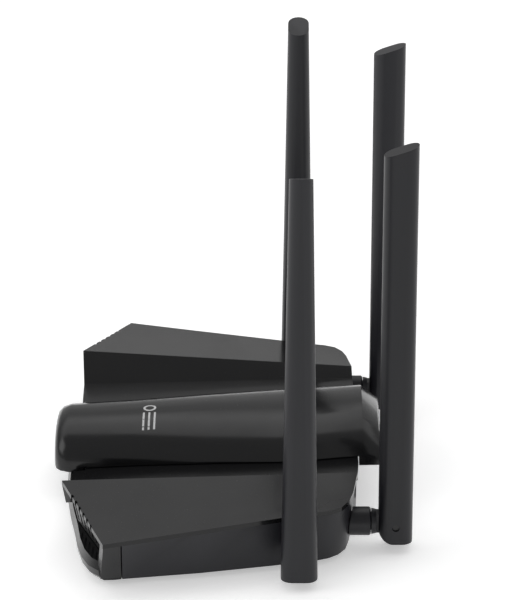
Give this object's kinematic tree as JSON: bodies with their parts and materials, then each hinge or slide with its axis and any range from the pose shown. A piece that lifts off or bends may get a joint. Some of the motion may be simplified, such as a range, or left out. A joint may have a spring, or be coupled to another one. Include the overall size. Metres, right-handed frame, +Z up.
{
  "type": "wireless router",
  "caption": "Black wireless router with a raised centre spine, folded wings, a slatted front and swivelling, folding stick antennas.",
  "frame": {"origin": "centre of the footprint, on the surface under the rubber feet", "axes": "+X to the router's right seen from above with the front towards -Y, +Y to the rear with the ports, +Z up"},
  "size_m": [0.2564, 0.1626, 0.1882],
  "materials": {
    "gloss_black": "glossy moulded black",
    "satin_black": "satin moulded black",
    "matt_black": "matt black",
    "rubber": "soft rubber",
    "bright_metal": "plated steel",
    "board_green": "solder mask",
    "brass": "drawn brass",
    "clear_plastic": "clear acrylic"
  },
  "bodies": {
    "housing": {"antenna_collar_left": "satin_black", "antenna_collar_rear_left": "satin_black", "antenna_collar_rear_right": "satin_black", "antenna_collar_right": "satin_black", "antenna_lead_left": "matt_black", "antenna_lead_rear_left": "matt_black", "antenna_lead_rear_right": "matt_black", "antenna_lead_right": "matt_black", "board_screw_1": "bright_metal", "board_screw_2": "bright_metal", "board_screw_3": "bright_metal", "board_screw_4": "bright_metal", "bottom_case": "satin_black", "case_screw_1": "bright_metal", "case_screw_2": "bright_metal", "case_screw_3": "bright_metal", "case_screw_4": "bright_metal", "front_bezel": "gloss_black", "front_grille_left": "matt_black", "front_grille_right": "matt_black", "heat_sink": "bright_metal", "indicator_board": "board_green", "lan_port_1": "matt_black", "lan_port_2": "matt_black", "lan_port_3": "matt_black", "light_guide": "clear_plastic", "main_board": "board_green", "power_capacitor": "matt_black", "power_jack": "matt_black", "processor": "matt_black", "reset_switch": "matt_black", "rubber_foot_1": "rubber", "rubber_foot_2": "rubber", "rubber_foot_3": "rubber", "rubber_foot_4": "rubber", "shield_can_left": "bright_metal", "shield_can_right": "bright_metal", "spine_cover": "gloss_black", "top_cover": "gloss_black", "wan_port": "matt_black"},
    "swivel_right": {"antenna_knuckle_right": "satin_black"},
    "antenna_right": {"antenna_blade_right": "satin_black", "antenna_pin_right": "matt_black", "antenna_element_right": "brass"},
    "swivel_rear_right": {"antenna_knuckle_rear_right": "satin_black"},
    "antenna_rear_right": {"antenna_blade_rear_right": "satin_black", "antenna_pin_rear_right": "matt_black", "antenna_element_rear_right": "brass"},
    "swivel_left": {"antenna_knuckle_left": "satin_black"},
    "antenna_left": {"antenna_blade_left": "satin_black", "antenna_pin_left": "matt_black", "antenna_element_left": "brass"},
    "swivel_rear_left": {"antenna_knuckle_rear_left": "satin_black"},
    "antenna_rear_left": {"antenna_blade_rear_left": "satin_black", "antenna_pin_rear_left": "matt_black", "antenna_element_rear_left": "brass"},
    "reset": {"reset_button": "matt_black"}
  },
  "joints": [
    {"name": "antenna_swivel_right", "type": "hinge", "parent": "housing", "child": "swivel_right", "pos_m": [0.1138, 0.031, 0.0126], "axis": [-1, 0, 0], "range_deg": [-20, 60]},
    {"name": "antenna_fold_right", "type": "hinge", "parent": "swivel_right", "child": "antenna_right", "pos_m": [0.1138, 0.031, 0.0126], "axis": [0, 1, 0], "range_deg": [0, 90]},
    {"name": "antenna_swivel_rear_right", "type": "hinge", "parent": "housing", "child": "swivel_rear_right", "pos_m": [0.0754, 0.0738, 0.0126], "axis": [0, 1, 0], "range_deg": [-20, 90]},
    {"name": "antenna_fold_rear_right", "type": "hinge", "parent": "swivel_rear_right", "child": "antenna_rear_right", "pos_m": [0.0754, 0.0738, 0.0126], "axis": [-1, 0, 0], "range_deg": [0, 90]},
    {"name": "antenna_swivel_left", "type": "hinge", "parent": "housing", "child": "swivel_left", "pos_m": [-0.1138, 0.031, 0.0126], "axis": [-1, 0, 0], "range_deg": [-20, 60]},
    {"name": "antenna_fold_left", "type": "hinge", "parent": "swivel_left", "child": "antenna_left", "pos_m": [-0.1138, 0.031, 0.0126], "axis": [0, -1, 0], "range_deg": [0, 90]},
    {"name": "antenna_swivel_rear_left", "type": "hinge", "parent": "housing", "child": "swivel_rear_left", "pos_m": [-0.0754, 0.0738, 0.0126], "axis": [0, -1, 0], "range_deg": [-20, 90]},
    {"name": "antenna_fold_rear_left", "type": "hinge", "parent": "swivel_rear_left", "child": "antenna_rear_left", "pos_m": [-0.0754, 0.0738, 0.0126], "axis": [-1, 0, 0], "range_deg": [0, 90]},
    {"name": "reset_press", "type": "slide", "parent": "housing", "child": "reset", "axis": [0, -1, 0], "range_m": [0, 0.0009], "stiffness_N_per_m": 900}
  ]
}
